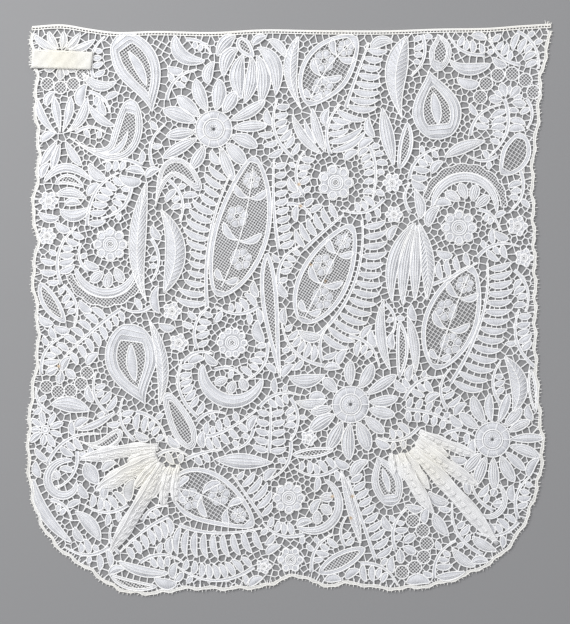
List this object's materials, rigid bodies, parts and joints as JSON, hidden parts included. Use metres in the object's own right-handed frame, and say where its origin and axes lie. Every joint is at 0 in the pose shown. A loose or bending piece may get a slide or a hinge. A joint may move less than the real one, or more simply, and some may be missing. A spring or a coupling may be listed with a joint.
{
  "type": "lace cravat end laid flat",
  "caption": "Flat panel of flower and fern bobbin lace with rounded lower corners, pleats in both of them, a heading tape along its top edge and a blank cotton tape at its top left.",
  "frame": {"origin": "middle of the panel's outline box, on its underside", "axes": "+Z out of the lace's face, +Y up its length towards the heading tape, +X across it to the right as the face is seen"},
  "size_m": [0.314, 0.3422, 0.0046],
  "materials": {
    "lace": "matt bobbin lace of fine white linen thread",
    "heading_cotton": "matt narrow cotton tape",
    "tape_cotton": "matt plain woven cotton tape"
  },
  "bodies": {
    "root": {"lace_panel": "lace", "heading_tape": "heading_cotton", "tape_label": "tape_cotton"}
  },
  "joints": []
}
